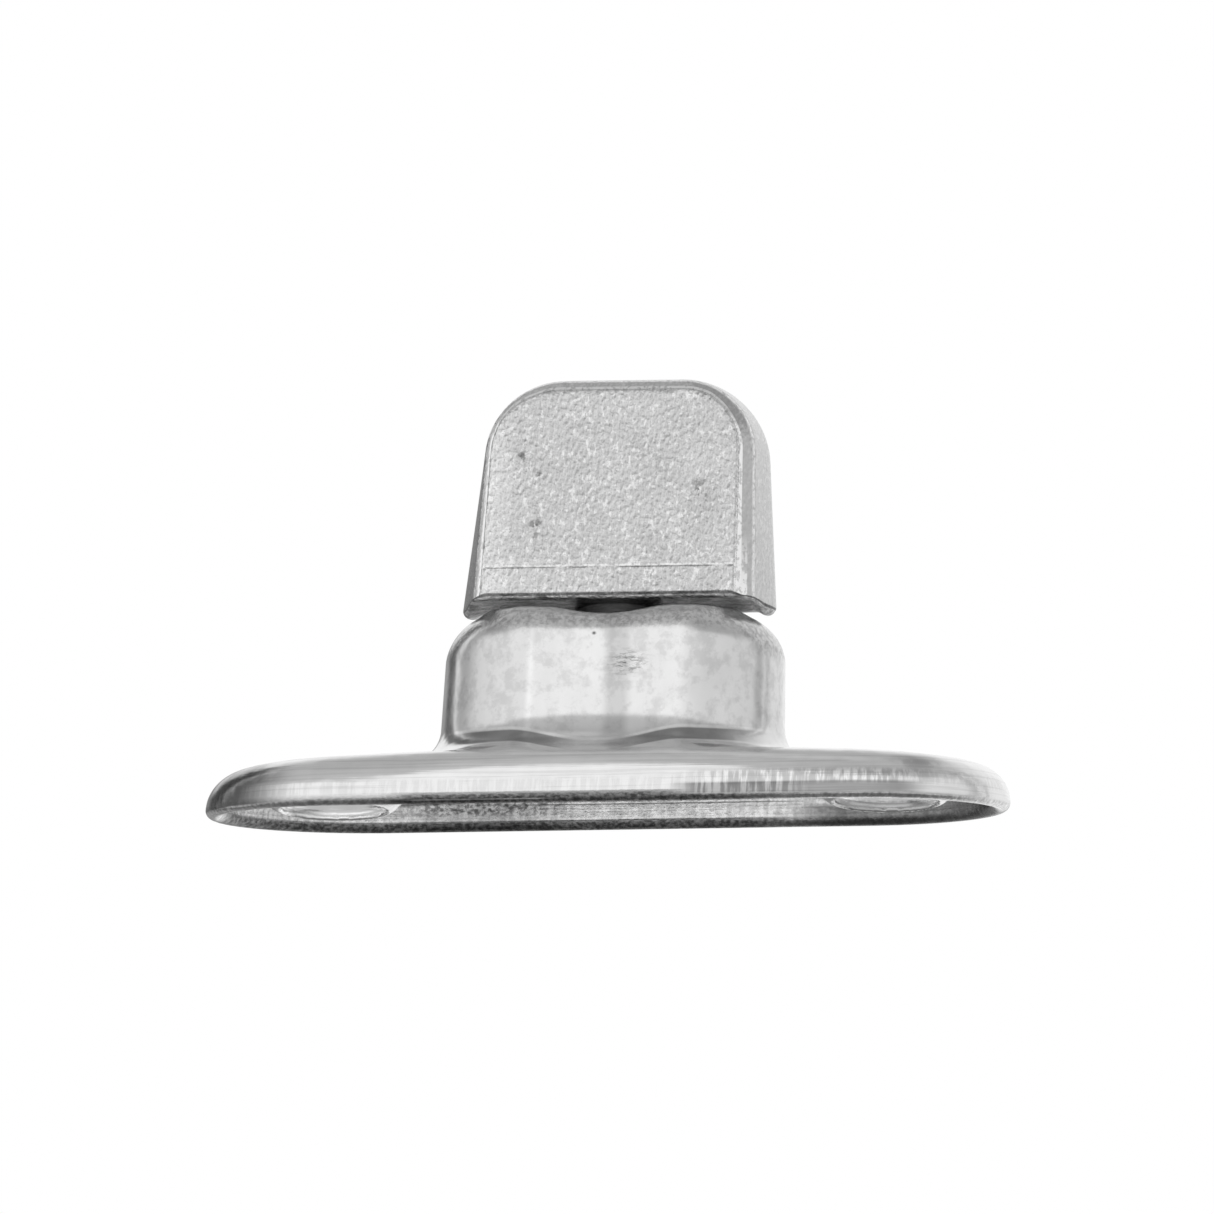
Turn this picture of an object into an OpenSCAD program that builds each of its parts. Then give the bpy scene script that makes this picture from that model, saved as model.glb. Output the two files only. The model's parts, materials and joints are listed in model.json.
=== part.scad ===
// Two-screw turn button: a sprung, turning fastener stud for canvas covers.
// A drawn metal base carries an oval barrel, and a cast button turns on top of it.
// The origin is the centre of the base on its mounting plane, +X runs along the base
// and +Z runs up through the button. All sizes are in millimetres.

/* [Base plate] */
// Length of the base
plate_l = 33.3; // [31:0.1:36]
// Width of the base
plate_w = 13; // [12.6:0.1:14]
// Height of the base beside the barrel
plate_h = 2.3; // [2.1:0.05:2.4]
// Height of the base at its two ends
plate_end_h = 1.8; // [1.6:0.05:1.9]
// Radius of the rolled edge of the base
rim_r = 1.4; // [1:0.05:1.5]
// Thickness of the drawn sheet
sheet_t = 0.8; // [0.7:0.05:0.85]

/* [Screw holes] */
// Distance between the two screw holes
hole_spacing = 23; // [22.6:0.1:23.6]
// Diameter of a screw hole
hole_d = 4.3; // [4:0.1:4.5]
// Diameter of the ring on which each dimple stands
dimple_d = 5.2; // [5:0.1:5.5]

/* [Barrel] */
// Length of the barrel
barrel_l = 14.2; // [13.6:0.1:14.6]
// Width of the barrel across one lobe
barrel_w = 9.5; // [9:0.1:9.8]
// Width of the barrel at its waist
waist_w = 8.2; // [7.8:0.1:8.4]
// Height of the four detent lobes above the mounting plane
barrel_h = 8.36; // [8:0.02:9]
// Depth of the two crossed detent grooves
groove_depth = 0.28; // [0.2:0.02:0.4]
// Radius of the shoulder around the top of the barrel
shoulder_r = 1.3; // [1:0.1:1.5]
// Height of the flared foot of the barrel
foot_h = 0.9; // [0.6:0.1:1]

/* [Button] */
// Width of the button along its parting line, at the bottom
button_w = 13.2; // [12:0.1:13.4]
// Width of the flat face of the button
face_w = 10.4; // [9.6:0.1:10.8]
// Thickness of the button from face to face
button_t = 5.4; // [5:0.1:6]
// Height of the top of the button above the mounting plane
top_z = 18.3; // [17.5:0.1:19]
// Corner radius of the flat face
face_corner_r = 1.5; // [1:0.1:2]
// Corner radius of the parting outline
outline_corner_r = 3.2; // [2.6:0.1:3.6]
// Height of the flat face's lower edge above the keel
bevel_h = 0.8; // [0.5:0.05:1]
// Width of the bevel around the flat face
face_bevel = 0.4; // [0.2:0.05:0.5]

/* [Spindle, spring and washer] */
// Diameter of the spindle
spindle_d = 3.6; // [3.2:0.1:3.8]
// Clearance between the spindle and the barrel, on the radius
spindle_clear = 0.05; // [0.02:0.01:0.09]
// Diameter of the retaining washer
washer_d = 5.8; // [5.2:0.1:6.2]
// Thickness of the retaining washer
washer_t = 0.8; // [0.6:0.1:1]
// Diameter of the spring wire
wire_d = 0.6; // [0.5:0.05:0.65]
// Outside diameter of the spring
spring_d = 5.8; // [5.4:0.1:6.2]
// Number of active coils
active_coils = 4; // [3:1:5]

/* [Hidden] */
$fn = 64;

// A cut reaches this far past the surface that it opens.
over = 1;
// The crown of the base is an arc this long, end to end.
crown_l = plate_l - 2 * rim_r;
crown_rise = plate_h - plate_end_h;
crown_r = (crown_l * crown_l / 4 + crown_rise * crown_rise) / (2 * crown_rise);
// Centres of the two end arcs of the base.
end_x = (plate_l - plate_w) / 2;
// A dimple is a cone at 45 degrees: its sheet is this wide on a level cut.
dimple_wall = sheet_t * sqrt(2);
hole_edge_z = dimple_wall - (dimple_d - hole_d) / 2;

// The barrel is two round lobes joined across a waist.
lobe_r = barrel_w / 2;
lobe_x = (barrel_l - barrel_w) / 2;
waist_r = 8;
waist_y = waist_w / 2 + waist_r;
// The ends of the barrel fall away along a dome that is round about the spindle,
// so that the drooping ends of the button can pass over them at any angle.
dome_r = 17.5;
dome_top = barrel_h + 0.6;
barrel_end_h = barrel_h - 0.18;
roof_z = barrel_h - groove_depth - sheet_t;
groove_r = 7;

// The underside of the button: a keel with drooping ends.
keel_gap = 0.06;
keel_z = barrel_h + keel_gap;
keel_end_z = barrel_h - 0.1;
keel_relief_x = 5.4;
chin_z = keel_z + 0.3;
face_z = keel_z + bevel_h;
face_top_z = top_z - 0.75;
shoulder_rise = 0.45;
outline_top_w = 12;
skin = 0.02;

// The running gear, from the roof of the barrel down.
washer_top = roof_z - 5;
washer_z = washer_top - washer_t;
spindle_top = face_z + 4;
rivet_d = 4.6;
rivet_h = 0.8;
spring_mean_r = (spring_d - wire_d) / 2;
dead_coils = 1;
coil_steps = 16;
wire_sides = 10;

// A flat outline of the base, grown or shrunk by d, with true round ends.
module base_outline(d) {
    for (s = [-1, 1])
        translate([s * end_x, 0])
            circle(r = plate_w / 2 + d, $fn = 96);
    square([2 * end_x, plate_w + 2 * d], center = true);
}

// Half of a block's section, from the middle out: r wide, with a rounded upper edge.
module rounded_half_section(r, top, edge_r) {
    square([r - edge_r, top]);
    square([r, top - edge_r]);
    intersection() {
        translate([r - edge_r, top - edge_r])
            circle(r = edge_r);
        square([r, top]);
    }
}

// The slab of the base with its rolled edge.
module base_slab() {
    for (s = [-1, 1])
        translate([s * end_x, 0, 0])
            rotate_extrude($fn = 96)
                rounded_half_section(plate_w / 2, plate_h, rim_r);
    for (s = [0, 1])
        mirror([0, s, 0])
            translate([-end_x, 0, 0])
                rotate([90, 0, 90])
                    linear_extrude(2 * end_x)
                        rounded_half_section(plate_w / 2, plate_h, rim_r);
}

// A long arc that bows the base lengthwise; drop lowers it by the sheet for the inside.
module crown(drop) {
    translate([0, 0, plate_h - drop - crown_r])
        rotate([90, 0, 0])
            cylinder(r = crown_r, h = plate_w + 2 * over, center = true, $fn = 256);
}

// One lobe of the barrel with a rounded shoulder; d grows or shrinks it.
module lobe(d, top, edge_r) {
    rotate_extrude($fn = 96)
        rounded_half_section(lobe_r + d, top, edge_r);
}

// The tool that hollows one side of the waist; its flared top rounds the shoulder.
module waist_cut(d, top, edge_r) {
    r = waist_r - d;
    translate([0, waist_y, 0])
        rotate_extrude($fn = 96)
            difference() {
                translate([0, -over])
                    square([r + edge_r, top + 2 * over]);
                translate([r, -2 * over])
                    square([edge_r + over, top - edge_r + 2 * over]);
                translate([r + edge_r, top - edge_r])
                    circle(r = edge_r);
            }
}

// The waisted block of the barrel, solid; d grows or shrinks the outline.
module barrel_block(d, top, edge_r) {
    difference() {
        union() {
            for (s = [-1, 1])
                translate([s * lobe_x, 0, 0])
                    lobe(d, top, edge_r);
            translate([-lobe_x / 2, -lobe_r - d + 0.2, 0])
                cube([lobe_x, 2 * (lobe_r + d) - 0.4, top]);
        }
        for (a = [0, 180])
            rotate(a)
                waist_cut(d, top, edge_r);
    }
}

// The outside of the barrel with its domed, grooved top and flared foot.
module barrel_outside() {
    difference() {
        intersection() {
            barrel_block(0, barrel_h, shoulder_r);
            union() {
                translate([0, 0, dome_top - dome_r])
                    sphere(r = dome_r, $fn = 128);
                translate([-barrel_l, -barrel_l, 0])
                    cube([2 * barrel_l, 2 * barrel_l, barrel_end_h]);
            }
        }
        for (a = [0, 90])
            rotate(a)
                translate([0, 0, barrel_h - groove_depth + groove_r])
                    rotate([90, 0, 0])
                        cylinder(r = groove_r, h = barrel_l + 2 * over, center = true, $fn = 128);
    }
    for (s = [-1, 1])
        translate([s * lobe_x, 0, plate_h - 0.4])
            cylinder(r1 = lobe_r + foot_h + 0.2, r2 = lobe_r - 0.2, h = foot_h + 0.4);
}

// The dimple that carries one screw: an outside cone with a flat ring to stand on.
module dimple_outside() {
    cylinder(r1 = dimple_d / 2, r2 = dimple_d / 2 + plate_end_h, h = plate_end_h);
}

// The countersink and the hole of one dimple.
module dimple_cut() {
    translate([0, 0, -over])
        cylinder(d = hole_d, h = plate_h + 2 * over);
    translate([0, 0, hole_edge_z])
        cylinder(r1 = hole_d / 2, r2 = hole_d / 2 + plate_h, h = plate_h);
}

module base_shell() {
    color("silver")
        difference() {
            union() {
                difference() {
                    union() {
                        intersection() {
                            base_slab();
                            crown(0);
                        }
                        barrel_outside();
                    }
                    intersection() {
                        translate([0, 0, -over])
                            linear_extrude(plate_h + over)
                                base_outline(-sheet_t);
                        crown(sheet_t);
                    }
                    translate([0, 0, -over])
                        barrel_block(-sheet_t, roof_z + over, 0.4);
                }
                for (s = [-1, 1])
                    translate([s * hole_spacing / 2, 0, 0])
                        dimple_outside();
            }
            for (s = [-1, 1])
                translate([s * hole_spacing / 2, 0, 0])
                    dimple_cut();
            translate([0, 0, roof_z - over])
                cylinder(d = spindle_d + 2 * spindle_clear, h = sheet_t + 2 * over);
        }
}

// A thin upright slice of the button at depth y: a plate with rounded upper corners.
module button_slice(y, half_bottom, half_top, bottom, top, corner) {
    translate([0, y + skin / 2, 0])
        rotate([90, 0, 0])
            linear_extrude(skin)
                hull() {
                    for (s = [-1, 1]) {
                        translate([s * (half_top - corner), top - corner])
                            circle(r = corner, $fn = 32);
                        translate([s * (half_bottom - skin), bottom])
                            square([2 * skin, skin], center = true);
                    }
                }
}

module turn_button() {
    color("lightgray")
        difference() {
            hull() {
                for (s = [-1, 1]) {
                    button_slice(s * (button_t / 2 - skin / 2), face_w / 2, face_w / 2 - 0.15,
                                 face_z, face_top_z, face_corner_r);
                    button_slice(s * (button_t / 2 - face_bevel), face_w / 2 + face_bevel * 0.7,
                                 face_w / 2 + face_bevel * 0.4, chin_z,
                                 face_top_z + shoulder_rise, face_corner_r + face_bevel);
                }
                button_slice(0, button_w / 2, outline_top_w / 2, keel_end_z, top_z, outline_corner_r);
            }
            translate([-keel_relief_x, -button_t, keel_end_z - over])
                cube([2 * keel_relief_x, 2 * button_t, keel_z - keel_end_z + over]);
            translate([0, 0, keel_end_z - over])
                cylinder(d = spindle_d, h = spindle_top - keel_end_z + over);
        }
}

module spindle() {
    color("gray") {
        translate([0, 0, washer_z - rivet_h / 2])
            cylinder(d = spindle_d, h = spindle_top - washer_z + rivet_h / 2);
        translate([0, 0, washer_z - rivet_h])
            rotate_extrude()
                intersection() {
                    square([rivet_d / 2, rivet_h]);
                    translate([0, rivet_d])
                        circle(r = rivet_d, $fn = 96);
                }
    }
}

// Height of the wire's centre line after a given number of turns, ends closed flat.
spring_low = washer_top + wire_d / 2;
spring_high = roof_z - wire_d / 2;
all_coils = active_coils + 2 * dead_coils;
flat_pitch = wire_d + 0.02;
open_pitch = (spring_high - spring_low - 2 * dead_coils * flat_pitch) / active_coils;

function coil_z(turn) =
    turn < dead_coils ? spring_low + turn * flat_pitch
    : turn < dead_coils + active_coils
        ? spring_low + dead_coils * flat_pitch + (turn - dead_coils) * open_pitch
        : spring_high - (all_coils - turn) * flat_pitch;

// One corner of the wire's section at a given turn.
function wire_point(turn, k) =
    let (a = 360 * k / wire_sides, r = spring_mean_r + wire_d / 2 * cos(a))
    [r * cos(360 * turn), r * sin(360 * turn), coil_z(turn) + wire_d / 2 * sin(a)];

module spring() {
    rings = all_coils * coil_steps;
    points = [for (i = [0:rings]) for (k = [0:wire_sides - 1]) wire_point(i / coil_steps, k)];
    sides = [for (i = [0:rings - 1]) for (k = [0:wire_sides - 1])
        let (a = i * wire_sides + k, b = i * wire_sides + (k + 1) % wire_sides)
        [a, a + wire_sides, b + wire_sides, b]];
    first = [for (k = [0:wire_sides - 1]) k];
    last = [for (k = [wire_sides - 1:-1:0]) rings * wire_sides + k];
    color("dimgray")
        polyhedron(points = points, faces = concat(sides, [first, last]), convexity = 10);
}

module spring_washer() {
    color("darkgray")
        translate([0, 0, washer_z])
            difference() {
                cylinder(d = washer_d, h = washer_t);
                translate([0, 0, -over])
                    cylinder(d = spindle_d + 2 * spindle_clear, h = washer_t + 2 * over);
            }
}

base_shell();
turn_button();
spindle();
spring();
spring_washer();
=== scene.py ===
"""The looks of a two-screw turn button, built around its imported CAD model.

The drawn base and the cast button are distance fields in millimetres, made from the sizes of the CAD
nodes, meshed on a fine grid and then pulled on to the exact surface. The coil spring is a swept wire.
The spindle and the washer are the CAD nodes themselves.
"""

import json
import math
from types import SimpleNamespace

import bpy
import numpy as np
import openvdb
from mathutils import Matrix, Vector


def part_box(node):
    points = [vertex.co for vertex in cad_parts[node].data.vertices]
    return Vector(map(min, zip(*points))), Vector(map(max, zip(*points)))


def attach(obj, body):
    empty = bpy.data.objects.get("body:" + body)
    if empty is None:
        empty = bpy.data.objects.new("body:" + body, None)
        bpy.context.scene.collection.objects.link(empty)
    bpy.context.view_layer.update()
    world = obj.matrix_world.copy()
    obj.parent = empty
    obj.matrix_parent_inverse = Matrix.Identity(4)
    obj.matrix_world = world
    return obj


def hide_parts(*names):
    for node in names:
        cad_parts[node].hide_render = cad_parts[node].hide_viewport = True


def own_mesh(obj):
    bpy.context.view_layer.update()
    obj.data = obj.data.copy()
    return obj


MM = 0.001
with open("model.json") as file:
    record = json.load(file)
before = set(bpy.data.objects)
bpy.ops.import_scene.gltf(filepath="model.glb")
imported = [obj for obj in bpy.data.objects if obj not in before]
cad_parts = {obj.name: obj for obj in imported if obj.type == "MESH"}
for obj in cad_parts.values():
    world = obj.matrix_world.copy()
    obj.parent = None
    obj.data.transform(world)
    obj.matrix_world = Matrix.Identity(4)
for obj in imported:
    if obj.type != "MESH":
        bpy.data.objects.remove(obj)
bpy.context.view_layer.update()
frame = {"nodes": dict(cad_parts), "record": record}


# ---------------------------------------------------------------- sizes, in mm, from the frame


def node_box(node):
    """The lowest and highest corner of a CAD node, in mm."""
    low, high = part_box(node)
    return np.array(low) / MM, np.array(high) / MM


BASE_LOW, BASE_HIGH = node_box("base_shell")
BUTTON_LOW, BUTTON_HIGH = node_box("turn_button")
SPRING_LOW, SPRING_HIGH = node_box("spring")
MOUNTS = {m["name"]: m for m in frame["record"]["mounts"]}

# A size that changes along the part has a pair of places, where its change begins and ends.

# The base plate.
BASE_VOXEL = 0.12
SHEET = 0.8
PLATE_R = BASE_HIGH[1]
PLATE_END_X = BASE_HIGH[0] - PLATE_R
PLATE_H = 2.3
PLATE_END_H = 1.86
RIM_END_R = 1.25
RIM_MID_R = 0.9
RIM_CHANGE_X = (3, 10)
SKIRT_DRAFT = 0.12
HOLE_X = MOUNTS["screw_holes"]["dims"]["spacing_x_mm"] / 2
HOLE_R = MOUNTS["screw_holes"]["dims"]["hole_r_mm"]
HOLE_EDGE_R = 0.1
# A dimple: its cone's radius on the mounting plane, the rolled edge at its mouth, its thinner sheet, how high
# its lower end stands, how far that end rises per mm along -y, and where its sheet gets thinner.
DIMPLE_R = 2.05
DIMPLE_LIP = 0.45
DIMPLE_SHEET = 0.45
DIMPLE_LOW = 0.33
DIMPLE_TILT = 0.08
DIMPLE_CHANGE_R = (4.2, 3.1)

# The barrel: two lobes with a waist between them, a shoulder above and a foot below.
BARREL_H = BASE_HIGH[2]
LOBE_R = 4.75
LOBE_X = 2.4
WAIST_HALF = 4.1
WAIST_R = 8.0
RIDGE_SOFT = 0.4
BARREL_DRAFT = 0.022
GROOVE_DEPTH = 0.28
GROOVE_R = 7.0
GROOVE_SOFT = 0.14
END_DROP = 0.19
END_DROP_CHANGE_R = (5.4, 5.9)
SHOULDER_WAIST = 0.98
SHOULDER_SIDE = 1.3
SHOULDER_SIDE_CHANGE_X = (0.3, 2.6)
SHOULDER_END = 1.9
SHOULDER_END_CHANGE_X = (3.5, 7.0)
FOOT_END_R = 1.3
FOOT_WAIST_R = 1.75
FOOT_CHANGE_X = (1.0, 5.5)
ROOF_HOLE_R = 1.85
ROOF_HOLE_EDGE_R = 0.08

# The button. Its depth is counted from the parting line towards a face; its chin is the slope below a face.
BUTTON_VOXEL = 0.085
BUTTON_TOP = BUTTON_HIGH[2]
BUTTON_HALF_T = BUTTON_HIGH[1]
BUTTON_HALF_W = BUTTON_HIGH[0]
KEEL_END_Z = BUTTON_LOW[2]
KEEL_END_DROP = 0.16
KEEL_DROP_CHANGE_X = (5.75, 6.15)
KEEL_DROP_CHANGE_DEPTH = (0.4, 1.9)
KEEL_EDGE_R = 0.1
KEEL_CORNER_R = 0.35
KEEL_CORNER_CHANGE_X = (5.8, 6.5)
PARTING_FLARE = 0.085
PARTING_SOFT = 0.3
FACE_HALF_W = 5.56
FACE_FLARE = 0.01
TOP_DRAFT = 0.19
KEEL_SLOPE = 0.13
CHIN_Z = 9.22
CHIN_SLOPE = 1.25
CHIN_SOFT = 0.1
OUTLINE_CORNER_R = 3.55
FACE_CORNER_R = 2.8
FACE_BEVEL = 0.36
BEVEL_BIAS = 0.14
BEVEL_BIAS_CHANGE_X = (3.6, 5.2)
EDGE_SOFT = 0.15
CREASE_Z = 10.05
CREASE_STEP = 0.03
CREASE_SOFT = 0.05
LEAN = 0.012
LEAN_FROM_Z = 3.0

# The spring: the gap is between two closed coils, and the steps are those of one turn.
WIRE_R = 0.3
WIRE_GAP = 0.02
WIRE_SIDES = 20
SPRING_TURNS = 6
SPRING_CLOSED = 1
SPRING_STEPS = 72


# ---------------------------------------------------------------- distance field tools


def round_max(a, b, r):
    """The overlap of two shapes, its outer edge rounded to radius r."""
    inside = np.minimum(np.maximum(a + r, b + r), 0)
    return inside + np.hypot(np.maximum(a + r, 0), np.maximum(b + r, 0)) - r


def round_min(a, b, r):
    """Two shapes joined, with a fillet of radius r in the corner between them."""
    outside = np.maximum(np.minimum(a - r, b - r), 0)
    return outside - np.hypot(np.minimum(a - r, 0), np.minimum(b - r, 0)) + r


def soft_max(a, b, k):
    """The larger of a and b, blended where they differ by less than k."""
    h = np.maximum(k - np.abs(a - b), 0) / k
    return np.maximum(a, b) + h * h * k / 4


def soft_min(a, b, k):
    """The smaller of a and b, blended where they differ by less than k."""
    return -soft_max(-a, -b, k)


def ease(low, high, value):
    """0 below low, 1 above high, and smooth between them."""
    t = np.clip((value - low) / (high - low), 0, 1)
    return t * t * (3 - 2 * t)


def slope_of(field, points, step=0.01):
    """The gradient of a field at some points."""
    columns = []
    for axis in range(3):
        shift = np.zeros(3)
        shift[axis] = step
        columns.append((field(*(points + shift).T) - field(*(points - shift).T)) / (2 * step))
    return np.stack(columns, axis=1)


PULLS = 3
FLATTEST_SLOPE = 0.05


def mesh_field(name, field, low, high, voxel):
    """A smooth mesh object of the surface where a field is zero. All sizes are in mm."""
    margin = 3 * voxel
    low = np.array(low, float) - margin
    counts = np.ceil((np.array(high, float) + margin - low) / voxel).astype(int) + 1
    axes = [low[i] + voxel * np.arange(counts[i]) for i in range(3)]
    values = field(*np.meshgrid(*axes, indexing="ij", sparse=True))
    grid = openvdb.FloatGrid()
    grid.copyFromArray(np.broadcast_to(values, counts).astype(np.float32))
    points, quads = grid.convertToQuads(isovalue=0.0)
    points = points.astype(float) * voxel + low
    for _ in range(PULLS):
        slope = slope_of(field, points)
        size = np.maximum((slope ** 2).sum(axis=1), FLATTEST_SLOPE)
        move = -(field(*points.T) / size)[:, None] * slope
        points += np.clip(move, -voxel, voxel)
    return make_object(name, points * MM, quads)


def make_object(name, points, faces):
    """A smooth-shaded mesh object from points in metres and a list or array of faces."""
    mesh = bpy.data.meshes.new(name)
    mesh.from_pydata(points.tolist(), [], [list(map(int, f)) for f in faces])
    mesh.update()
    mesh.shade_smooth()
    piece = bpy.data.objects.new(name, mesh)
    bpy.context.scene.collection.objects.link(piece)
    return piece


# ---------------------------------------------------------------- the drawn base


def plate_solid(x, y, z):
    """The outside of the base plate: a slab with round ends, a bowed top and a rolled edge."""
    outline = np.hypot(np.maximum(np.abs(x) - PLATE_END_X, 0), y) - PLATE_R
    side = (outline + SKIRT_DRAFT * (z - SHEET / 2)) / math.hypot(1, SKIRT_DRAFT)
    reach = x / (BASE_HIGH[0] - RIM_END_R)
    top = PLATE_H - (PLATE_H - PLATE_END_H) * reach * reach
    rim = RIM_MID_R + (RIM_END_R - RIM_MID_R) * ease(*RIM_CHANGE_X, np.abs(x))
    return round_max(side, z - top, rim)


def barrel_outline(x, y):
    """The barrel seen from above: an oval drawn in at its waist."""
    oval = np.hypot(np.maximum(np.abs(x) - LOBE_X, 0), y) - LOBE_R
    waist = WAIST_R - np.hypot(x, np.abs(y) - WAIST_HALF - WAIST_R)
    return soft_max(oval, waist, RIDGE_SOFT)


def barrel_top(x, y):
    """The height of the barrel's top: four lobes between two crossed grooves, lower at the two ends."""
    top = BARREL_H - END_DROP * ease(*END_DROP_CHANGE_R, np.hypot(x, y))
    floor = BARREL_H - GROOVE_DEPTH
    for across in (x, y):
        top = soft_min(top, floor + across * across / (2 * GROOVE_R), GROOVE_SOFT)
    return top


def barrel_solid(x, y, z):
    """The outside of the barrel, with a shoulder that is wider at its two ends."""
    to_side = ease(*SHOULDER_SIDE_CHANGE_X, np.abs(x))
    to_end = ease(*SHOULDER_END_CHANGE_X, np.abs(x))
    shoulder = SHOULDER_WAIST + (SHOULDER_SIDE - SHOULDER_WAIST) * to_side
    shoulder = shoulder + (SHOULDER_END - SHOULDER_SIDE) * to_end
    wall = barrel_outline(x, y) + BARREL_DRAFT * (z - PLATE_H)
    return round_max(wall, z - barrel_top(x, y), shoulder)


def base_outside(x, y, z):
    """The outer skin of the base: plate, barrel and foot, with the two countersinks pressed in."""
    foot = FOOT_WAIST_R + (FOOT_END_R - FOOT_WAIST_R) * ease(*FOOT_CHANGE_X, np.abs(x))
    skin = round_min(plate_solid(x, y, z), barrel_solid(x, y, z), foot)
    rho = np.hypot(np.abs(x) - HOLE_X, y)
    mouth = DIMPLE_R - DIMPLE_SHEET * math.sqrt(2) + np.minimum(z + DIMPLE_TILT * y, PLATE_H)
    cone = (rho - mouth) / math.sqrt(2)
    return round_max(skin, -cone, DIMPLE_LIP)


def base_field(x, y, z):
    """The base as sheet metal with three holes, its sheet thinner and cut short at the dimples."""
    rho = np.hypot(np.abs(x) - HOLE_X, y)
    dimple = ease(*DIMPLE_CHANGE_R, rho)
    half = (SHEET + (DIMPLE_SHEET - SHEET) * dimple) / 2
    lip = half + dimple * (DIMPLE_LOW - DIMPLE_TILT * y)
    middle = base_outside(x, y, z) + half
    sheet = np.sqrt(middle * middle + np.minimum(z - lip, 0) ** 2 + 1e-6) - half
    screw_hole = HOLE_R - rho
    roof_hole = ROOF_HOLE_R - np.hypot(x, y)
    roof_hole = np.where(z > BARREL_H / 2, roof_hole, -1.0)
    return round_max(round_max(sheet, screw_hole, HOLE_EDGE_R), roof_hole, ROOF_HOLE_EDGE_R)


def build_base():
    piece = mesh_field("drawn_base", base_field, BASE_LOW, BASE_HIGH, BASE_VOXEL)
    piece.data.materials.append(plated_base_material())
    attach(piece, "base")
    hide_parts("base_shell")


# ---------------------------------------------------------------- the cast button


def button_field(x, y, z):
    """The cast button: bevelled flat faces, sides that meet at a parting line, and a keel with low ends."""
    x = x - LEAN * (z - LEAN_FROM_Z)
    depth = np.sqrt(y * y + PARTING_SOFT ** 2) - PARTING_SOFT
    parting_w = BUTTON_HALF_W - PARTING_FLARE * (z - KEEL_END_Z)
    draft = (parting_w - FACE_HALF_W + FACE_FLARE * (z - KEEL_END_Z)) / BUTTON_HALF_T
    side = (np.abs(x) - parting_w + draft * depth) / np.hypot(1, draft)
    top = z - (BUTTON_TOP - TOP_DRAFT * depth)
    corner = OUTLINE_CORNER_R + (FACE_CORNER_R - OUTLINE_CORNER_R) * depth / BUTTON_HALF_T
    outline = round_max(side, top, corner)
    face = np.abs(y) - BUTTON_HALF_T + CREASE_STEP * ease(CREASE_Z - CREASE_SOFT, CREASE_Z + CREASE_SOFT, z)
    bias = -BEVEL_BIAS * np.sign(x * y) * ease(*BEVEL_BIAS_CHANGE_X, np.abs(x))
    bevel = (outline + face + FACE_BEVEL + bias) / math.sqrt(2)
    body = soft_max(soft_max(outline, face, EDGE_SOFT), bevel, EDGE_SOFT)
    drop = ease(*KEEL_DROP_CHANGE_X, np.abs(x)) * (1 - ease(*KEEL_DROP_CHANGE_DEPTH, depth))
    keel = KEEL_END_Z + KEEL_END_DROP * (1 - drop)
    below = (keel + KEEL_SLOPE * depth - z) / math.hypot(1, KEEL_SLOPE)
    chin = (CHIN_Z - CHIN_SLOPE * (BUTTON_HALF_T - depth) - z) / math.hypot(1, CHIN_SLOPE)
    below = soft_max(below, chin, CHIN_SOFT)
    edge = KEEL_EDGE_R + (KEEL_CORNER_R - KEEL_EDGE_R) * ease(*KEEL_CORNER_CHANGE_X, np.abs(x))
    return round_max(body, below, edge)


def build_button():
    piece = mesh_field("cast_button", button_field, BUTTON_LOW, BUTTON_HIGH, BUTTON_VOXEL)
    piece.data.materials.append(plated_button_material())
    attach(piece, "button")
    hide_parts("turn_button")


# ---------------------------------------------------------------- the spring


def wire_line():
    """The turns and the heights of the points along the wire's centre line, its ends closed flat."""
    low, high = SPRING_LOW[2] + WIRE_R, SPRING_HIGH[2] - WIRE_R
    closed_pitch = 2 * WIRE_R + WIRE_GAP
    open_turns = SPRING_TURNS - 2 * SPRING_CLOSED
    open_pitch = (high - low - 2 * SPRING_CLOSED * closed_pitch) / open_turns
    turns = np.linspace(0, SPRING_TURNS, SPRING_TURNS * SPRING_STEPS + 1)
    height = low + closed_pitch * np.clip(turns, 0, SPRING_CLOSED)
    height += open_pitch * np.clip(turns - SPRING_CLOSED, 0, open_turns)
    height += closed_pitch * np.clip(turns - SPRING_TURNS + SPRING_CLOSED, 0, SPRING_CLOSED)
    return turns, height


def sweep_faces(rings, sides):
    """The faces of a swept rod: quads between its rings and a cap at each end."""
    faces = []
    for ring in range(rings - 1):
        here, there = ring * sides, (ring + 1) * sides
        for side in range(sides):
            after = (side + 1) % sides
            faces.append([here + side, there + side, there + after, here + after])
    faces.append(list(range(sides)))
    faces.append([(rings - 1) * sides + side for side in reversed(range(sides))])
    return faces


def build_spring():
    """A closed-end coil spring in the barrel."""
    turns, height = wire_line()
    angle = 2 * math.pi * turns[:, None]
    around = 2 * math.pi * np.arange(WIRE_SIDES)[None, :] / WIRE_SIDES
    radius = SPRING_HIGH[1] - WIRE_R + WIRE_R * np.cos(around)
    points = np.stack([radius * np.cos(angle), radius * np.sin(angle),
                       height[:, None] + WIRE_R * np.sin(around)], axis=-1)
    piece = make_object("coil_spring", points.reshape(-1, 3) * MM, sweep_faces(len(turns), WIRE_SIDES))
    piece.data.materials.append(spring_material())
    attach(piece, "base")
    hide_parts("spring")
    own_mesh(piece)


# ---------------------------------------------------------------- materials


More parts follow.
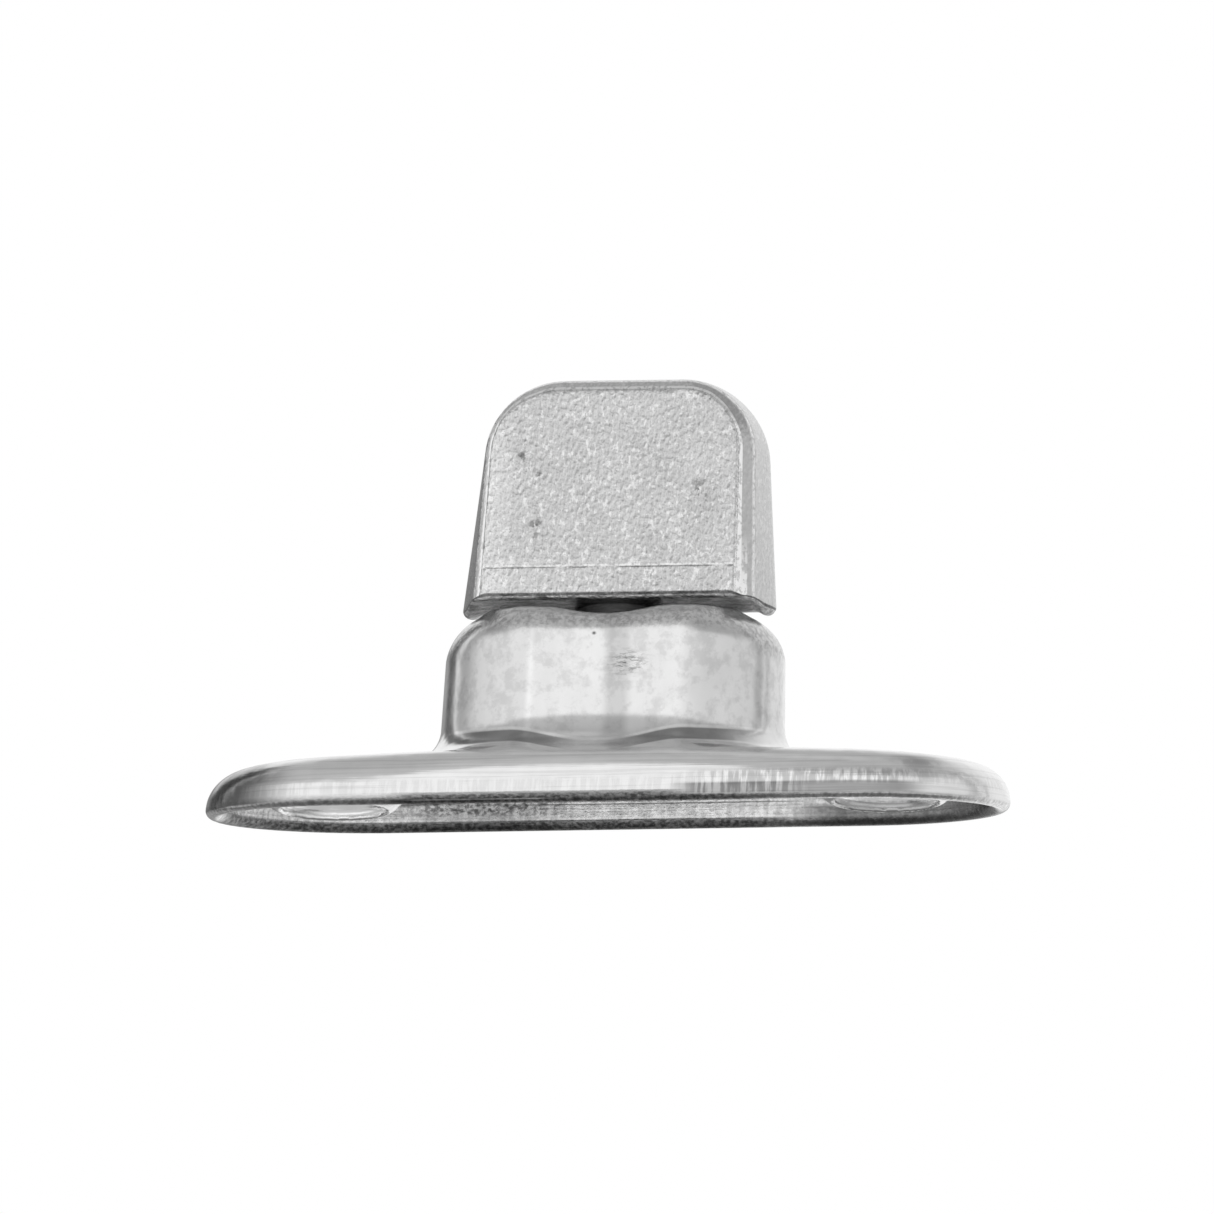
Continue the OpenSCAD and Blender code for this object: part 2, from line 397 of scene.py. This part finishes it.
class Nodes:
    """A small helper that adds and joins shader nodes; a value may be a number or another node's socket."""

    def __init__(self, tree):
        self.tree = tree
        tree.nodes.clear()

    def add(self, kind, inputs=None, **settings):
        node = self.tree.nodes.new(kind)
        for key, value in settings.items():
            setattr(node, key, value)
        for key, value in (inputs or {}).items():
            if isinstance(value, bpy.types.NodeSocket):
                self.tree.links.new(value, node.inputs[key])
            else:
                node.inputs[key].default_value = value
        return node

    def math(self, operation, a, b=0.0, c=0.0):
        return self.add("ShaderNodeMath", {0: a, 1: b, 2: c}, operation=operation).outputs[0]

    def vector(self, operation, a, b):
        return self.add("ShaderNodeVectorMath", {0: a, 1: b}, operation=operation).outputs[0]

    def length(self, a):
        return self.add("ShaderNodeVectorMath", {0: a}, operation="LENGTH").outputs["Value"]

    def times(self, first, *others):
        for other in others:
            first = self.math("MULTIPLY", first, other)
        return first

    def change(self, value, low, high, start=0.0, end=1.0):
        """A smooth change from start to end while value goes from low to high."""
        return self.add("ShaderNodeMapRange", {
            "Value": value, "From Min": low, "From Max": high, "To Min": start, "To Max": end},
            interpolation_type="SMOOTHSTEP").outputs[0]

    def band(self, value, low, high, soft):
        """1 where value lies between low and high, with soft edges."""
        rising = self.change(value, low - soft, low + soft)
        return self.times(rising, self.change(value, high - soft, high + soft, 1, 0))

    def mix(self, factor, a, b):
        """The number a where factor is 0 and b where it is 1."""
        return self.add("ShaderNodeMapRange", {"Value": factor, "To Min": a, "To Max": b}).outputs[0]

    def place(self):
        """The x, y and z of the place on the object, in mm."""
        return self.add("ShaderNodeSeparateXYZ", {0: self.point_mm()}).outputs

    def facing(self):
        """The x, y and z of the surface's direction in the object's own frame."""
        normal = self.add("ShaderNodeTexCoord").outputs["Normal"]
        return self.add("ShaderNodeSeparateXYZ", {0: normal}).outputs

    def spot(self, center, size):
        """1 at a place in mm, falling to 0 at the edge of an egg of the given half-sizes."""
        away = self.vector("SUBTRACT", self.point_mm(), center)
        return self.change(self.length(self.vector("DIVIDE", away, size)), 0.0, 1.0, 1, 0)

    def steps(self, value, stops):
        """A number that follows value through a list of (value, number) stops."""
        low, high = stops[0][0], stops[-1][0]
        node = self.add("ShaderNodeMapRange", {"Value": value, "From Min": low, "From Max": high})
        return self.ramp(node.outputs[0], [((at - low) / (high - low), number) for at, number in stops])

    def ramp(self, factor, stops):
        """A colour ramp of grey levels; stops is a list of (position, grey)."""
        node = self.add("ShaderNodeValToRGB", {0: factor})
        elements = node.color_ramp.elements
        while len(elements) < len(stops):
            elements.new(0.5)
        for element, (position, grey) in zip(elements, stops):
            element.position = position
            element.color = (grey, grey, grey, 1)
        return node.outputs["Color"]

    def point_mm(self, scale=(1, 1, 1)):
        """The place on the object in mm, stretched by a scale."""
        where = self.add("ShaderNodeTexCoord").outputs["Object"]
        return self.vector("MULTIPLY", where, tuple(s / MM for s in scale))

    def noise(self, scale, detail=4.0, roughness=0.55, stretch=(1, 1, 1), shift=(0, 0, 0)):
        """Noise with features about 1/scale mm across; shift moves it, in features at scale 1."""
        where = self.vector("ADD", self.point_mm(stretch), shift)
        return self.add("ShaderNodeTexNoise", {
            "Vector": where, "Scale": scale, "Detail": detail, "Roughness": roughness}).outputs["Fac"]

    def bump(self, height, distance_mm, normal=None, strength=1.0):
        inputs = {"Height": height, "Distance": distance_mm * MM, "Strength": strength}
        if normal is not None:
            inputs["Normal"] = normal
        return self.add("ShaderNodeBump", inputs).outputs["Normal"]

    def metal(self, color, roughness, normal):
        shader = self.add("ShaderNodeBsdfPrincipled", {
            "Base Color": color, "Metallic": 1.0, "Roughness": roughness, "Normal": normal})
        self.add("ShaderNodeOutputMaterial", {"Surface": shader.outputs[0]})


def new_material(name):
    material = bpy.data.materials.new(name)
    material.use_nodes = True
    return material, Nodes(material.node_tree)


def base_zones(n):
    """The zones of the base that look different, each 1 inside it and 0 outside, with soft edges."""
    x, y, z = n.place()
    fx, fy, fz = n.facing()
    zone = SimpleNamespace(x=x, y=y, z=z, fx=fx)
    zone.from_middle = n.math("ABSOLUTE", x)
    zone.outward = n.math("ADD", n.times(fx, x), n.times(fy, y, 3.0))

    # A dimple has a land, which is the wall of its hole, and a seat, which is the countersink above it.
    to_hole = n.add("ShaderNodeCombineXYZ", {0: n.math("SUBTRACT", zone.from_middle, HOLE_X), 1: y})
    spread = n.length(to_hole.outputs[0])
    off_cone = n.change(n.math("SUBTRACT", spread, z), 2.3, 2.7)
    zone.land = n.times(n.change(spread, 2.24, 2.18), n.change(z, 0.95, 0.75))
    zone.seat = n.times(n.change(spread, 3.3, 3.1), n.band(fz, 0.5, 0.9, 0.05))

    # The inner side of the sheet, and the lip that it stands on.
    inward = n.times(n.change(zone.outward, 0.0, -1.0), n.change(fz, 0.3, 0.1), off_cone)
    zone.inner = n.math("MAXIMUM", inward, n.times(n.change(fz, -0.3, -0.6), off_cone))
    # The lip's painted shade is weaker at the near ends, on the near right side and towards the right.
    near_end = n.times(n.change(zone.from_middle, 6.5, 9.0), n.change(y, 1.0, -1.0))
    near_side = n.times(n.change(x, 3.0, 4.5), n.change(y, 0.0, -1.5), n.change(z, 0.18, 0.3))
    lip = n.times(n.change(z, 0.46, 0.3), off_cone, n.mix(near_end, 1.0, 0.3), n.mix(near_side, 1.0, 0.0))
    zone.lip = n.times(lip, n.change(x, 5.0, 8.0, 1.0, 0.45))

    # The outside: the plate, the half of its rim that is coined lower down, and the barrel.
    zone.outer = n.change(zone.inner, 1, 0)
    zone.low = n.change(z, 2.6, 2.2)
    zone.right = n.change(x, 3.0, 4.5)
    rim_z = n.math("MULTIPLY_ADD", zone.right, -0.22, z)
    along = n.math("MAXIMUM", n.band(x, 4.5, 13.5, 1.5), 0.25)
    zone.coined = n.times(n.band(rim_z, 0.4, 0.95, 0.12), zone.outer, along)
    zone.walls = n.band(z, 2.8, 7.6, 0.5)
    zone.shoulder = n.change(n.math("ADD", z, n.change(zone.from_middle, 5.2, 6.8)), 7.1, 7.6)
    return zone


def base_grain(n):
    """The textures that the colour and the relief of the base share."""
    return SimpleNamespace(
        cloudy=n.noise(0.7, detail=6),
        ticks=n.noise(1.0, detail=3, stretch=(5.5, 5.5, 0.35)),
        lines=n.noise(1.0, detail=4, stretch=(0.12, 0.12, 7.0)),
        grit=n.noise(5.0, detail=5, roughness=0.65, stretch=(1, 1, 1.3)))


def plate_color(n, zone, grain, color):
    """The plate: a coined rim, a darker low band at the right, tarnish and painted shade at the left end, a
    patch at the right, drawn lines, and painted light in the dimples.
    """
    coined = n.change(grain.ticks, 0.42, 0.62, 0.66, 1.08)
    color = n.times(color, n.mix(zone.coined, 1.0, coined))
    # The low band of the rim's outside on the right is darker, with ticks in it between x 4 and 8.5.
    darker_low_rim = n.times(n.band(zone.z, 0.24, 0.68, 0.06), zone.outer, zone.right, n.change(zone.x, 14.0, 12.5))
    low_rim_darkening = n.mix(n.band(zone.x, 4.0, 8.5, 1.0), 0.46, n.change(grain.ticks, 0.4, 0.6, 0.3, 0.6))
    color = n.times(color, n.mix(darker_low_rim, 1.0, low_rim_darkening))
    tarnish_and_shade = n.times(n.change(zone.x, -11.5, -14.8), zone.outer, zone.low)
    # Painted shade: at the left end the surfaces that face left are painted darker, for their dark
    # reflection; the cloudy darkening below is tarnish.
    color = n.times(color, n.mix(n.times(tarnish_and_shade, n.change(zone.fx, -0.1, -0.5)), 1.0, 0.5))
    color = n.times(color, n.mix(tarnish_and_shade, 1.0, n.change(grain.cloudy, 0.42, 0.6, 0.42, 0.8)))
    patch = n.times(n.spot((13.2, -4.5, 1.5), (1.6, 3.0, 0.6)), n.change(grain.cloudy, 0.6, 0.45))
    # Painted light: the dimples' lands and seats are painted lighter, the seats up to twice the grey, for the
    # light inside the countersinks.
    color = n.times(color, n.mix(patch, 1.0, 0.5), n.mix(zone.land, 1.0, 1.35), n.mix(zone.seat, 1.0, 2.0))
    return n.times(color, n.mix(zone.low, 1.0, n.change(grain.lines, 0.38, 0.5, 0.9, 1.02)))


def underside_color(n, zone, grain, color):
    """The inner side and the lip: gritty and stained, with painted shade under the lip and on the far right,
    one painted highlight line and one thin dark line.
    """
    x, z = zone.x, zone.z
    # Painted shade: the inside of the far wall at the right end is painted much darker.
    far_side_shade = n.times(n.change(x, 6.0, 9.0), n.change(zone.y, 0.0, 1.5), n.change(z, 1.0, 0.75), zone.inner)
    color = n.times(color, n.mix(far_side_shade, 1.0, 0.32))
    # Painted shade: the underside of the lip is painted dark, with grit in it.
    color = n.times(color, n.mix(zone.lip, 1.0, n.change(grain.grit, 0.38, 0.66, 0.15, 0.45)))
    on_inside = n.change(zone.outward, -1.0, 0.0)
    # Painted highlight: a thin light line along the bottom of the inside, on the left.
    painted_highlight_line = n.times(n.band(z, 0.11, 0.16, 0.02), n.band(x, -7.5, -1.5, 1.0), on_inside)
    color = n.math("MAXIMUM", color, n.times(painted_highlight_line, 0.8))
    upright = n.noise(1.0, detail=3, stretch=(4.0, 4.0, 0.5))
    color = n.times(color, n.mix(zone.inner, 1.0, n.change(grain.grit, 0.35, 0.6, 0.82, 1.1)))
    color = n.times(color, n.mix(zone.inner, 1.0, n.change(upright, 0.4, 0.6, 0.86, 1.08)))
    stained = n.times(zone.inner, n.band(x, -9.0, -3.2, 1.6))
    blots = n.times(stained, n.change(z, 0.5, 0.8), n.change(grain.grit, 0.56, 0.4))
    # A thin dark line across the inside, about 1.05 mm up.
    thin_dark_line = n.times(zone.inner, n.band(z, 1.02, 1.07, 0.02), n.band(x, -5.0, 7.0, 1.5))
    return n.times(color, n.mix(stained, 1.0, 0.62), n.mix(blots, 1.0, 0.3), n.mix(thin_dark_line, 1.0, 0.35))


def barrel_color(n, zone, color):
    """The barrel: a mottled shoulder, blotched walls with painted shade, a painted highlight and a scuffed
    patch of painted shade on them, and painted reflections at its foot.
    """
    x, z = zone.x, zone.z
    mottled = n.change(n.noise(4.5, detail=6, roughness=0.7), 0.36, 0.62, 0.58, 0.95)
    pit = n.spot((-0.36, -4.0, 7.1), (0.13, 0.5, 0.11))
    blotches = n.change(n.noise(1.5, detail=7, roughness=0.65), 0.36, 0.56, 0.84, 1.0)
    color = n.times(color, n.mix(zone.shoulder, 1.0, mottled), n.mix(pit, 1.0, 0.1))
    color = n.times(color, n.mix(zone.walls, 1.0, blotches))
    # Painted highlight: a light vertical line on the wall at the left ridge between lobe and waist.
    ridge_highlight = n.times(zone.walls, n.band(x, -2.95, -2.75, 0.12))
    color = n.math("MULTIPLY_ADD", ridge_highlight, 0.12, color)
    # A dark patch in the waist: painted shade, with scuff-like dashes in it.
    scuffs = n.change(n.noise(2.2, detail=6, roughness=0.75, stretch=(1.0, 1.0, 4.0)), 0.46, 0.62)
    scuffed_shade = n.times(n.spot((1.05, -4.2, 5.85), (1.25, 2.0, 0.8)), scuffs)
    # Painted shade: the lobes and the middle of the wall are painted darker, for their darker reflections.
    lobes = n.times(zone.walls, n.math("MAXIMUM", n.change(x, -2.6, -3.2), n.change(x, 3.2, 3.7)))
    middle = n.times(zone.walls, n.band(x, 0.2, 1.15, 0.25))
    color = n.times(color, n.mix(scuffed_shade, 1.0, 0.2), n.mix(lobes, 1.0, 0.88), n.mix(middle, 1.0, 0.76))

    # Painted reflections at the foot: dark crescents below the ring height and a painted highlight line just
    # above it.
    ring = n.change(zone.from_middle, 0.3, 3.6, 2.62, 3.12)
    above_ring = n.math("SUBTRACT", z, ring)
    dark_reflection_crescents = n.times(n.band(above_ring, -0.52, -0.02, 0.04), n.band(zone.from_middle, 1.4, 5.6, 0.9))
    highlight_ring = n.times(n.band(above_ring, 0.0, 0.12, 0.05), n.change(zone.from_middle, 7.0, 6.0))
    return n.math("ADD", n.times(color, n.mix(dark_reflection_crescents, 1.0, 0.42)), n.times(highlight_ring, 0.18))


def plated_base_material():
    """Nickel on a drawn base: bright outside, pitted at the shoulder, coined at the rim, darker underneath,
    partly painted shade.
    """
    material, n = new_material("nickel_on_drawn_brass")
    zone, grain = base_zones(n), base_grain(n)
    color = n.math("MULTIPLY_ADD", grain.cloudy, 0.16, 0.76)
    color = plate_color(n, zone, grain, color)
    color = underside_color(n, zone, grain, color)
    color = barrel_color(n, zone, color)

    rough = n.math("MULTIPLY_ADD", n.noise(1.7, detail=6), 0.16, 0.1)
    rough = n.math("ADD", rough, n.math("MAXIMUM", n.times(zone.lip, 0.2), n.times(zone.inner, 0.06)))
    gritty = n.math("MAXIMUM", zone.lip, n.times(zone.inner, 0.3))
    gritty = n.math("MAXIMUM", n.times(zone.shoulder, 0.35), gritty)
    normal = n.bump(n.noise(0.55, detail=2), 0.05)
    normal = n.bump(n.times(grain.lines, zone.low), 0.01, normal)
    normal = n.bump(n.times(grain.ticks, zone.coined), 0.02, normal)
    normal = n.bump(n.times(grain.grit, gritty), 0.05, normal)
    n.metal(color, rough, normal)
    return material


# Where the button's face is stained: the middle and the half-sizes of each stain, in mm.
FACE_STAINS = [((-3.9, -2.7, 14.7), (0.6, 0.6, 0.55)), ((-3.1, -2.7, 13.9), (0.25, 0.5, 0.3)),
               ((-3.2, -2.7, 11.8), (0.5, 0.5, 0.9)), ((3.6, -2.7, 13.1), (0.8, 0.5, 0.9))]
BUTTON_GREY = 0.67


def button_zones(n):
    """The zones of the button that look different, told apart by the way the surface faces."""
    x, _, z = n.place()
    fx, fy, fz = n.facing()
    zone = SimpleNamespace(x=x, z=z)
    zone.across = n.math("ABSOLUTE", fy)
    same_side = n.times(fx, fy)
    zone.flat = n.change(zone.across, 0.88, 0.97)
    zone.under = n.change(fz, -0.1, -0.25)
    above = n.math("SUBTRACT", 1.0, zone.under)
    zone.strip = n.times(n.band(zone.across, 0.66, 0.9, 0.04), n.change(same_side, 0.05, -0.1), above)
    zone.flank = n.times(n.band(zone.across, 0.1, 0.55, 0.05), n.change(same_side, 0.0, 0.08), above)
    inner_edge = n.band(zone.across, 0.8, 0.965, 0.02)
    outer_edge = n.band(zone.across, 0.4, 0.64, 0.05)
    zone.edge = n.times(n.math("MAXIMUM", inner_edge, outer_edge), above, n.change(fz, 0.97, 0.92))
    zone.rim_line = n.times(n.band(zone.across, 0.95, 0.985, 0.01), above, n.change(same_side, -0.02, -0.06))
    zone.chin_line = n.band(fz, -0.42, -0.15, 0.06)
    return zone


def cast_color(n, zone, grain):
    """The grey of the casting: grain with painted relief shading, small painted glints and slow changes over
    the face.
    """
    # Painted light: the grain minus a shifted copy of it paints relief shading, as if lit from one side.
    relief_light_offset = n.noise(6.0, detail=4, roughness=0.5, stretch=(1, 1, 0.7), shift=(0.04, 0, -0.04))
    # Painted highlights: small bright flecks on the grain.
    painted_glints = n.change(n.noise(4.6, detail=5, roughness=0.6, stretch=(1.2, 1, 0.8)), 0.54, 0.64)
    color = n.math("MULTIPLY_ADD", n.math("SUBTRACT", grain, relief_light_offset), 0.9, BUTTON_GREY)
    color = n.math("MULTIPLY_ADD", painted_glints, 0.26, color)
    color = n.math("MULTIPLY_ADD", n.math("SUBTRACT", n.noise(0.5), 0.5), -0.25, color)
    color = n.math("MULTIPLY_ADD", n.change(zone.x, -4.0, -5.2), 0.12, color)
    calmer = n.math("MULTIPLY_ADD", n.math("SUBTRACT", color, 0.66), 0.4, 0.7)
    return n.mix(zone.flat, calmer, color)


def shade_and_stain_color(n, zone, fine, color):
    """Painted shade on the casting's grey: darker on a bevel strip, a flank, sideways faces and below, with
    dark lines at the face's rim and the chin, and stains on the face.
    """
    # Painted shade: the bevel strip and the flank on one diagonal are painted darker, as are sideways faces
    # and a line at the face's rim.
    flank = n.change(fine, 0.35, 0.6, 0.36, 0.6)
    color = n.times(color, n.mix(zone.strip, 1.0, 0.75), n.mix(zone.flank, 1.0, flank))
    sideways = n.change(zone.across, 0.5, 0.35)
    color = n.times(color, n.mix(sideways, 1.0, 0.85), n.mix(zone.rim_line, 1.0, 0.8))
    # Painted shade below, with streaks in it, and a dark painted line at the chin.
    streaks = n.change(n.noise(2.5, detail=4, stretch=(0.5, 1, 2.0)), 0.35, 0.6, 0.4, 1.0)
    color = n.times(color, n.mix(zone.under, 1.0, streaks), n.mix(zone.chin_line, 1.0, 0.3))
    stains = n.change(n.noise(3.0, detail=4), 0.5, 0.58)
    for center, size in FACE_STAINS:
        color = n.times(color, n.mix(n.times(n.spot(center, size), stains), 1.0, 0.4))
    return color


def crease_light_and_shade(n, zone, color):
    """The crease across the foot of the face: a broken line of painted shade with a painted highlight over
    it.
    """
    below = n.band(zone.z, CREASE_Z - 0.06, CREASE_Z - 0.01, 0.02)
    above = n.band(zone.z, CREASE_Z, CREASE_Z + 0.08, 0.02)
    broken = n.change(n.noise(0.9, detail=3, stretch=(1, 1, 0)), 0.4, 0.5)
    color = n.times(color, n.mix(n.times(below, zone.flat, broken), 1.0, 0.45))
    return n.math("ADD", color, n.times(above, zone.flat, 0.3))


def plated_button_material():
    """Nickel over a grainy casting, polished by wear along the edges of its bevels, which are also painted
    bright as a highlight.
    """
    material, n = new_material("nickel_on_cast_grain")
    zone = button_zones(n)
    grain = n.noise(6.0, detail=4, roughness=0.5, stretch=(1, 1, 0.7))
    fine = n.noise(11.0, detail=3)
    color = crease_light_and_shade(n, zone, shade_and_stain_color(n, zone, fine, cast_color(n, zone, grain)))
    # The bevels' edges are painted bright: worn polish, and a painted highlight.
    color = n.math("MAXIMUM", color, n.times(zone.edge, n.change(grain, 0.36, 0.5, 0.66, 0.98)))

    rough = n.mix(zone.edge, n.mix(zone.flat, 0.24, 0.3), 0.2)
    strength = n.math("MAXIMUM", n.math("MAXIMUM", zone.flat, zone.under), 0.3)
    normal = n.bump(n.times(grain, strength), 0.11)
    normal = n.bump(n.times(fine, strength), 0.015, normal)
    n.metal(color, rough, normal)
    return material


def spring_material():
    material, n = new_material("spring_wire")
    lines = n.noise(3.0, detail=4, stretch=(1, 1, 6))
    n.metal(n.ramp(lines, [(0.3, 0.3), (0.7, 0.42)]), 0.32, n.bump(lines, 0.01))
    return material


def pin_material():
    material, n = new_material("dull_plated_steel")
    turning = n.noise(2.0, detail=5, stretch=(1, 1, 8))
    n.metal(n.ramp(turning, [(0.3, 0.05), (0.7, 0.1)]), 0.45, n.bump(turning, 0.01))
    return material


def dress_cad_nodes():
    material = pin_material()
    for name in ("spindle", "spring_washer"):
        node = frame["nodes"][name]
        node.data.materials.clear()
        node.data.materials.append(material)


# ---------------------------------------------------------------- floor, light and camera

# How bright the studio is: by height in front and behind, and by azimuth, all in degrees.
# An azimuth of 0 is in front of the object, at -Y, and one of 90 is to its right.
FRONT_LIGHT = [(-90, 0.14), (-50, 0.18), (-35, 0.6), (-10, 0.95), (0, 1.0), (25, 1.0), (35, 0.57), (60, 0.52),
               (76, 0.45), (84, 0.58), (90, 0.6)]
BACK_LIGHT = [(-90, 0.14), (-50, 0.18), (-30, 0.9), (-10, 1.0), (35, 1.0), (60, 0.48), (78, 0.45), (84, 0.58),
              (90, 0.6)]
SIDE_LIGHT = [(-180, 1.0), (-172, 1.0), (-168, 0.4), (-143, 0.4), (-138, 0.15), (-120, 0.16), (-117.5, 1.0),
              (-113, 1.0), (-110, 0.42), (-95, 0.52), (-82, 0.84), (-55, 0.95), (-30, 1.0), (15, 1.0),
              (45, 0.82), (98, 0.8), (105, 0.48), (112, 0.5), (114, 1.0), (116, 1.0), (118, 0.5), (122, 0.55),
              (127, 0.9), (155, 0.9), (165, 1.0), (180, 1.0)]

FLOOR_HALF_M = 3.0
# The floor turns from pale to white between these distances from its middle, in mm.
FLOOR_FADE = (40, 500)


def build_floor():
    """A pale floor that brightens into the white behind it; a camera below the base looks through it."""
    signs = [(-1, -1), (1, -1), (1, 1), (-1, 1)]
    corners = np.array([[sx * FLOOR_HALF_M, sy * FLOOR_HALF_M, 0] for sx, sy in signs])
    floor = make_object("floor", corners, [[0, 1, 2, 3]])
    material, n = new_material("pale_floor")
    pale = n.add("ShaderNodeBsdfDiffuse", {"Color": (0.86, 0.86, 0.86, 1)})
    white = n.add("ShaderNodeEmission", {"Color": (1, 1, 1, 1)})
    away = n.change(n.length(n.point_mm()), *FLOOR_FADE)
    sweep = n.add("ShaderNodeMixShader", {0: away, 1: pale.outputs[0], 2: white.outputs[0]})
    clear = n.add("ShaderNodeBsdfTransparent")
    from_below = n.add("ShaderNodeNewGeometry").outputs["Backfacing"]
    one_sided = n.add("ShaderNodeMixShader", {0: from_below, 1: sweep.outputs[0], 2: clear.outputs[0]})
    n.add("ShaderNodeOutputMaterial", {"Surface": one_sided.outputs[0]})
    floor.data.materials.append(material)
    floor.visible_glossy = False
    floor.visible_diffuse = False
    floor.visible_shadow = False
    return floor


def build_world():
    """A studio: white in front and behind, grey overhead, cards to the sides and at the back, dark ground."""
    world = bpy.data.worlds.new("studio")
    world.use_nodes = True
    bpy.context.scene.world = world
    n = Nodes(world.node_tree)
    direction = n.add("ShaderNodeTexCoord").outputs["Generated"]
    x, y, z = n.add("ShaderNodeSeparateXYZ", {0: direction}).outputs
    height = n.math("MULTIPLY", n.math("ARCSINE", z), 180 / math.pi)
    azimuth = n.math("MULTIPLY", n.math("ARCTAN2", x, n.math("MULTIPLY", y, -1.0)), 180 / math.pi)
    front = n.steps(height, FRONT_LIGHT)
    back = n.steps(height, BACK_LIGHT)
    light = n.mix(n.change(y, -0.1, 0.3), front, back)
    # Behind on the left the dark card is low, and the wall over it is bright.
    far_left = n.times(n.change(azimuth, -138, -143), n.change(height, 10, 14))
    cards = n.math("MAXIMUM", n.steps(azimuth, SIDE_LIGHT), far_left)
    reach = n.band(height, -45, 50, 12)
    light = n.times(light, n.mix(reach, 1.0, cards))
    camera_ray = n.add("ShaderNodeLightPath").outputs["Is Camera Ray"]
    background = n.add("ShaderNodeBackground", {"Color": n.mix(camera_ray, light, 1.0), "Strength": 1.0})
    n.add("ShaderNodeOutputWorld", {"Surface": background.outputs[0]})


# The camera stands a little below the base and to its right, and looks past the object,
# which lies off the lens's axis, so the frame is shifted back to it. Angles are in degrees.
CAMERA_AZIMUTH = 8.7
CAMERA_ELEVATION = -7.25
CAMERA_DISTANCE = 246.0
LOOK_ASIDE = -11.1
LOOK_UP = -10.1
CAMERA_ROLL = -1.1
TARGET = Vector((0, 0, 8.0))
# Where the target lies in the frame, as shares of its side, and how wide the frame is there, in mm.
TARGET_IN_FRAME = (0.509, 0.5134)
FRAME_AT_TARGET = 53.08264
SENSOR = 36.0
# As the camera moves in, the lens shift falls to nothing between these shares of its distance.
SHIFT_FADE = (0.97, 0.9)


def from_angles(azimuth, elevation):
    """The unit vector that points away from the object at an azimuth and elevation in degrees."""
    a, e = math.radians(azimuth), math.radians(elevation)
    return Vector((math.sin(a) * math.cos(e), -math.cos(a) * math.cos(e), math.sin(e)))


def shift_from_afar(camera, floor, channel, shift):
    """Shifts the lens at the camera's own distance, and not when the camera is moved in to look round.

    A driver reads the distance from the camera to the floor's origin.
    """
    curve = camera.data.driver_add(channel)
    curve.driver.type = "SUM"
    away = curve.driver.variables.new()
    away.type = "LOC_DIFF"
    away.targets[0].id = camera
    away.targets[1].id = floor
    for modifier in list(curve.modifiers):
        curve.modifiers.remove(modifier)
    for reach, value in zip(SHIFT_FADE, (shift, 0.0)):
        key = curve.keyframe_points.insert(reach * CAMERA_DISTANCE * MM, value)
        key.interpolation = "LINEAR"


def build_camera(floor):
    place = TARGET + from_angles(CAMERA_AZIMUTH, CAMERA_ELEVATION) * CAMERA_DISTANCE
    back = from_angles(CAMERA_AZIMUTH + LOOK_ASIDE, CAMERA_ELEVATION + LOOK_UP)
    level = Vector((0, 0, 1)).cross(back).normalized()
    upright = back.cross(level)
    roll = math.radians(CAMERA_ROLL)
    right = math.cos(roll) * level + math.sin(roll) * upright
    up = -math.sin(roll) * level + math.cos(roll) * upright
    data = bpy.data.cameras.new("camera")
    camera = bpy.data.objects.new("camera", data)
    bpy.context.scene.collection.objects.link(camera)
    turn = Matrix((right, up, back)).transposed().to_4x4()
    camera.matrix_world = Matrix.Translation(place * MM) @ turn
    focal = CAMERA_DISTANCE / FRAME_AT_TARGET
    data.sensor_width = SENSOR
    data.lens = focal * SENSOR
    offset = TARGET - place
    distance = -offset.dot(back)
    shift_from_afar(camera, floor, "shift_x", focal * offset.dot(right) / distance + 0.5 - TARGET_IN_FRAME[0])
    shift_from_afar(camera, floor, "shift_y", focal * offset.dot(up) / distance - 0.5 + TARGET_IN_FRAME[1])
    data.clip_start = 0.01
    data.clip_end = 20.0
    bpy.context.scene.camera = camera


# ---------------------------------------------------------------- everything


build_base()
build_button()
build_spring()
dress_cad_nodes()
build_world()
build_camera(build_floor())
bpy.context.scene.view_settings.view_transform = "Standard"
